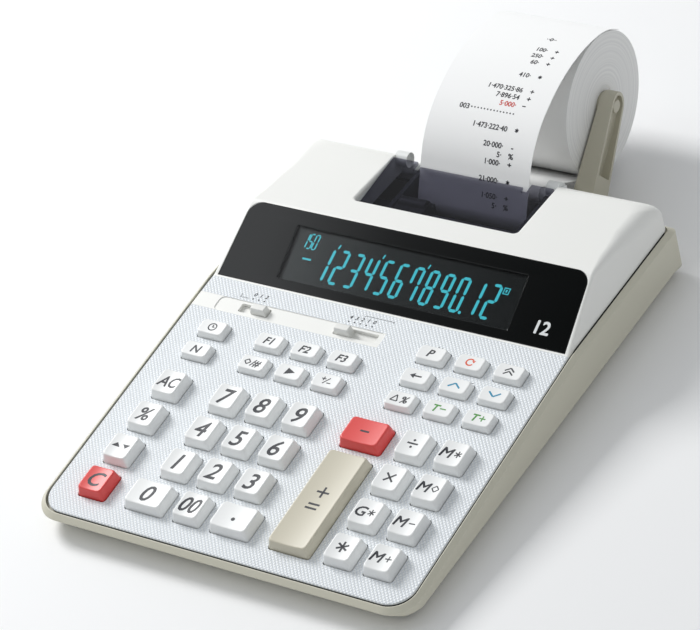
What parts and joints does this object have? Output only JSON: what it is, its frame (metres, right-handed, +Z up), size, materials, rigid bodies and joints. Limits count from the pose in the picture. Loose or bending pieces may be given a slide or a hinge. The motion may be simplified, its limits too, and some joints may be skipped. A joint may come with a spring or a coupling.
{
  "type": "desktop printing calculator",
  "caption": "Desktop printing calculator: wedge case with a sloping keyboard, tilted display, smoked printer cover, and a paper roll on two arms behind.",
  "frame": {"origin": "centre of the overall box in plan, on the table plane under the feet", "axes": "+X to the right seen by the user, +Y from the keys towards the paper roll, +Z up from the table"},
  "size_m": [0.195, 0.34, 0.0773],
  "materials": {
    "case_white": "fine satin texture",
    "case_base": "fine satin texture",
    "window_black": "polished, clear over the display",
    "display_glass": "dark display glass",
    "cover_smoke": "smoked, see-through, polished",
    "printer_steel": "pressed steel, dark",
    "platen_rubber": "ground rubber",
    "carriage_black": "moulded",
    "paper": "plain printing paper",
    "arm_plastic": "fine satin texture",
    "mat_rubber": "moulded silicone",
    "board_green": "solder mask",
    "foot_rubber": "moulded",
    "screw_steel": "zinc plated",
    "knob_white": "moulded",
    "key_white": "satin moulded cap",
    "key_red": "satin moulded cap",
    "key_beige": "satin moulded cap"
  },
  "bodies": {
    "case": {"top_case": "case_white", "bottom_case": "case_base", "display_window": "window_black", "display_module": "display_glass", "printer_frame": "printer_steel", "paper_strip": "paper", "roll_arms": "arm_plastic", "key_mat": "mat_rubber", "main_board": "board_green", "rubber_feet": "foot_rubber", "case_screws": "screw_steel"},
    "key_0": {"key_0": "key_white"},
    "key_00": {"key_00": "key_white"},
    "key_1": {"key_1": "key_white"},
    "key_2": {"key_2": "key_white"},
    "key_3": {"key_3": "key_white"},
    "key_4": {"key_4": "key_white"},
    "key_5": {"key_5": "key_white"},
    "key_6": {"key_6": "key_white"},
    "key_7": {"key_7": "key_white"},
    "key_8": {"key_8": "key_white"},
    "key_9": {"key_9": "key_white"},
    "key_backspace": {"key_backspace": "key_white"},
    "key_check_down": {"key_check_down": "key_white"},
    "key_check_up": {"key_check_up": "key_white"},
    "key_clear": {"key_clear": "key_red"},
    "key_clear_all": {"key_clear_all": "key_white"},
    "key_correct": {"key_correct": "key_white"},
    "key_cost": {"key_cost": "key_white"},
    "key_delta_percent": {"key_delta_percent": "key_white"},
    "key_divide": {"key_divide": "key_white"},
    "key_feed": {"key_feed": "key_white"},
    "key_grand_total": {"key_grand_total": "key_white"},
    "key_item": {"key_item": "key_white"},
    "key_margin": {"key_margin": "key_white"},
    "key_markup": {"key_markup": "key_white"},
    "key_memory_minus": {"key_memory_minus": "key_white"},
    "key_memory_plus": {"key_memory_plus": "key_white"},
    "key_memory_subtotal": {"key_memory_subtotal": "key_white"},
    "key_memory_total": {"key_memory_total": "key_white"},
    "key_minus": {"key_minus": "key_red"},
    "key_multiply": {"key_multiply": "key_white"},
    "key_non_add": {"key_non_add": "key_white"},
    "key_percent": {"key_percent": "key_white"},
    "key_plus_equals": {"key_plus_equals": "key_beige"},
    "key_point": {"key_point": "key_white"},
    "key_print": {"key_print": "key_white"},
    "key_reprint": {"key_reprint": "key_white"},
    "key_sell": {"key_sell": "key_white"},
    "key_sign": {"key_sign": "key_white"},
    "key_tax_minus": {"key_tax_minus": "key_white"},
    "key_tax_plus": {"key_tax_plus": "key_white"},
    "key_time": {"key_time": "key_white"},
    "key_total": {"key_total": "key_white"},
    "power_switch": {"power_switch": "knob_white"},
    "decimal_switch": {"decimal_switch": "knob_white"},
    "printer_cover": {"printer_cover": "cover_smoke"},
    "print_carriage": {"print_carriage": "carriage_black"},
    "paper_roll": {"paper_roll": "paper"},
    "platen_roller": {"platen_roller": "platen_rubber"}
  },
  "joints": [
    {"name": "power_switch_slide", "type": "slide", "parent": "case", "child": "power_switch", "axis": [1, 0, 0], "range_m": [-0.0062, 0]},
    {"name": "decimal_switch_slide", "type": "slide", "parent": "case", "child": "decimal_switch", "axis": [1, 0, 0], "range_m": [0, 0.0124]},
    {"name": "cover_hinge", "type": "hinge", "parent": "case", "child": "printer_cover", "pos_m": [0, 0.03448, 0.04048], "axis": [1, 0, 0], "range_deg": [0, 100]},
    {"name": "carriage_slide", "type": "slide", "parent": "case", "child": "print_carriage", "axis": [1, 0, 0], "range_m": [0, 0.047]},
    {"name": "roll_spin", "type": "hinge", "parent": "case", "child": "paper_roll", "pos_m": [0, 0.13528, 0.041], "axis": [1, 0, 0], "continuous": true},
    {"name": "platen_spin", "type": "hinge", "parent": "case", "child": "platen_roller", "pos_m": [0, 0.06338, 0.0272], "axis": [1, 0, 0], "continuous": true},
    {"name": "key_0_press", "type": "slide", "parent": "case", "child": "key_0", "axis": [0, 0.1045, -0.9945], "range_m": [0, 0.0022], "stiffness_N_per_m": 250, "springref_m": -0.001},
    {"name": "key_00_press", "type": "slide", "parent": "case", "child": "key_00", "axis": [0, 0.1045, -0.9945], "range_m": [0, 0.0022], "stiffness_N_per_m": 250, "springref_m": -0.001},
    {"name": "key_1_press", "type": "slide", "parent": "case", "child": "key_1", "axis": [0, 0.1045, -0.9945], "range_m": [0, 0.0022], "stiffness_N_per_m": 250, "springref_m": -0.001},
    {"name": "key_2_press", "type": "slide", "parent": "case", "child": "key_2", "axis": [0, 0.1045, -0.9945], "range_m": [0, 0.0022], "stiffness_N_per_m": 250, "springref_m": -0.001},
    {"name": "key_3_press", "type": "slide", "parent": "case", "child": "key_3", "axis": [0, 0.1045, -0.9945], "range_m": [0, 0.0022], "stiffness_N_per_m": 250, "springref_m": -0.001},
    {"name": "key_4_press", "type": "slide", "parent": "case", "child": "key_4", "axis": [0, 0.1045, -0.9945], "range_m": [0, 0.0022], "stiffness_N_per_m": 250, "springref_m": -0.001},
    {"name": "key_5_press", "type": "slide", "parent": "case", "child": "key_5", "axis": [0, 0.1045, -0.9945], "range_m": [0, 0.0022], "stiffness_N_per_m": 250, "springref_m": -0.001},
    {"name": "key_6_press", "type": "slide", "parent": "case", "child": "key_6", "axis": [0, 0.1045, -0.9945], "range_m": [0, 0.0022], "stiffness_N_per_m": 250, "springref_m": -0.001},
    {"name": "key_7_press", "type": "slide", "parent": "case", "child": "key_7", "axis": [0, 0.1045, -0.9945], "range_m": [0, 0.0022], "stiffness_N_per_m": 250, "springref_m": -0.001},
    {"name": "key_8_press", "type": "slide", "parent": "case", "child": "key_8", "axis": [0, 0.1045, -0.9945], "range_m": [0, 0.0022], "stiffness_N_per_m": 250, "springref_m": -0.001},
    {"name": "key_9_press", "type": "slide", "parent": "case", "child": "key_9", "axis": [0, 0.1045, -0.9945], "range_m": [0, 0.0022], "stiffness_N_per_m": 250, "springref_m": -0.001},
    {"name": "key_backspace_press", "type": "slide", "parent": "case", "child": "key_backspace", "axis": [0, 0.1045, -0.9945], "range_m": [0, 0.0022], "stiffness_N_per_m": 250, "springref_m": -0.001},
    {"name": "key_check_down_press", "type": "slide", "parent": "case", "child": "key_check_down", "axis": [0, 0.1045, -0.9945], "range_m": [0, 0.0022], "stiffness_N_per_m": 250, "springref_m": -0.001},
    {"name": "key_check_up_press", "type": "slide", "parent": "case", "child": "key_check_up", "axis": [0, 0.1045, -0.9945], "range_m": [0, 0.0022], "stiffness_N_per_m": 250, "springref_m": -0.001},
    {"name": "key_clear_press", "type": "slide", "parent": "case", "child": "key_clear", "axis": [0, 0.1045, -0.9945], "range_m": [0, 0.0022], "stiffness_N_per_m": 250, "springref_m": -0.001},
    {"name": "key_clear_all_press", "type": "slide", "parent": "case", "child": "key_clear_all", "axis": [0, 0.1045, -0.9945], "range_m": [0, 0.0022], "stiffness_N_per_m": 250, "springref_m": -0.001},
    {"name": "key_correct_press", "type": "slide", "parent": "case", "child": "key_correct", "axis": [0, 0.1045, -0.9945], "range_m": [0, 0.0022], "stiffness_N_per_m": 250, "springref_m": -0.001},
    {"name": "key_cost_press", "type": "slide", "parent": "case", "child": "key_cost", "axis": [0, 0.1045, -0.9945], "range_m": [0, 0.0022], "stiffness_N_per_m": 250, "springref_m": -0.001},
    {"name": "key_delta_percent_press", "type": "slide", "parent": "case", "child": "key_delta_percent", "axis": [0, 0.1045, -0.9945], "range_m": [0, 0.0022], "stiffness_N_per_m": 250, "springref_m": -0.001},
    {"name": "key_divide_press", "type": "slide", "parent": "case", "child": "key_divide", "axis": [0, 0.1045, -0.9945], "range_m": [0, 0.0022], "stiffness_N_per_m": 250, "springref_m": -0.001},
    {"name": "key_feed_press", "type": "slide", "parent": "case", "child": "key_feed", "axis": [0, 0.1045, -0.9945], "range_m": [0, 0.0022], "stiffness_N_per_m": 250, "springref_m": -0.001},
    {"name": "key_grand_total_press", "type": "slide", "parent": "case", "child": "key_grand_total", "axis": [0, 0.1045, -0.9945], "range_m": [0, 0.0022], "stiffness_N_per_m": 250, "springref_m": -0.001},
    {"name": "key_item_press", "type": "slide", "parent": "case", "child": "key_item", "axis": [0, 0.1045, -0.9945], "range_m": [0, 0.0022], "stiffness_N_per_m": 250, "springref_m": -0.001},
    {"name": "key_margin_press", "type": "slide", "parent": "case", "child": "key_margin", "axis": [0, 0.1045, -0.9945], "range_m": [0, 0.0022], "stiffness_N_per_m": 250, "springref_m": -0.001},
    {"name": "key_markup_press", "type": "slide", "parent": "case", "child": "key_markup", "axis": [0, 0.1045, -0.9945], "range_m": [0, 0.0022], "stiffness_N_per_m": 250, "springref_m": -0.001},
    {"name": "key_memory_minus_press", "type": "slide", "parent": "case", "child": "key_memory_minus", "axis": [0, 0.1045, -0.9945], "range_m": [0, 0.0022], "stiffness_N_per_m": 250, "springref_m": -0.001},
    {"name": "key_memory_plus_press", "type": "slide", "parent": "case", "child": "key_memory_plus", "axis": [0, 0.1045, -0.9945], "range_m": [0, 0.0022], "stiffness_N_per_m": 250, "springref_m": -0.001},
    {"name": "key_memory_subtotal_press", "type": "slide", "parent": "case", "child": "key_memory_subtotal", "axis": [0, 0.1045, -0.9945], "range_m": [0, 0.0022], "stiffness_N_per_m": 250, "springref_m": -0.001},
    {"name": "key_memory_total_press", "type": "slide", "parent": "case", "child": "key_memory_total", "axis": [0, 0.1045, -0.9945], "range_m": [0, 0.0022], "stiffness_N_per_m": 250, "springref_m": -0.001},
    {"name": "key_minus_press", "type": "slide", "parent": "case", "child": "key_minus", "axis": [0, 0.1045, -0.9945], "range_m": [0, 0.0022], "stiffness_N_per_m": 250, "springref_m": -0.001},
    {"name": "key_multiply_press", "type": "slide", "parent": "case", "child": "key_multiply", "axis": [0, 0.1045, -0.9945], "range_m": [0, 0.0022], "stiffness_N_per_m": 250, "springref_m": -0.001},
    {"name": "key_non_add_press", "type": "slide", "parent": "case", "child": "key_non_add", "axis": [0, 0.1045, -0.9945], "range_m": [0, 0.0022], "stiffness_N_per_m": 250, "springref_m": -0.001},
    {"name": "key_percent_press", "type": "slide", "parent": "case", "child": "key_percent", "axis": [0, 0.1045, -0.9945], "range_m": [0, 0.0022], "stiffness_N_per_m": 250, "springref_m": -0.001},
    {"name": "key_plus_equals_press", "type": "slide", "parent": "case", "child": "key_plus_equals", "axis": [0, 0.1045, -0.9945], "range_m": [0, 0.0022], "stiffness_N_per_m": 250, "springref_m": -0.001},
    {"name": "key_point_press", "type": "slide", "parent": "case", "child": "key_point", "axis": [0, 0.1045, -0.9945], "range_m": [0, 0.0022], "stiffness_N_per_m": 250, "springref_m": -0.001},
    {"name": "key_print_press", "type": "slide", "parent": "case", "child": "key_print", "axis": [0, 0.1045, -0.9945], "range_m": [0, 0.0022], "stiffness_N_per_m": 250, "springref_m": -0.001},
    {"name": "key_reprint_press", "type": "slide", "parent": "case", "child": "key_reprint", "axis": [0, 0.1045, -0.9945], "range_m": [0, 0.0022], "stiffness_N_per_m": 250, "springref_m": -0.001},
    {"name": "key_sell_press", "type": "slide", "parent": "case", "child": "key_sell", "axis": [0, 0.1045, -0.9945], "range_m": [0, 0.0022], "stiffness_N_per_m": 250, "springref_m": -0.001},
    {"name": "key_sign_press", "type": "slide", "parent": "case", "child": "key_sign", "axis": [0, 0.1045, -0.9945], "range_m": [0, 0.0022], "stiffness_N_per_m": 250, "springref_m": -0.001},
    {"name": "key_tax_minus_press", "type": "slide", "parent": "case", "child": "key_tax_minus", "axis": [0, 0.1045, -0.9945], "range_m": [0, 0.0022], "stiffness_N_per_m": 250, "springref_m": -0.001},
    {"name": "key_tax_plus_press", "type": "slide", "parent": "case", "child": "key_tax_plus", "axis": [0, 0.1045, -0.9945], "range_m": [0, 0.0022], "stiffness_N_per_m": 250, "springref_m": -0.001},
    {"name": "key_time_press", "type": "slide", "parent": "case", "child": "key_time", "axis": [0, 0.1045, -0.9945], "range_m": [0, 0.0022], "stiffness_N_per_m": 250, "springref_m": -0.001},
    {"name": "key_total_press", "type": "slide", "parent": "case", "child": "key_total", "axis": [0, 0.1045, -0.9945], "range_m": [0, 0.0022], "stiffness_N_per_m": 250, "springref_m": -0.001}
  ],
  "couplings": [
    {"joint": "platen_spin", "follows": "roll_spin", "ratio": 4.9571}
  ]
}
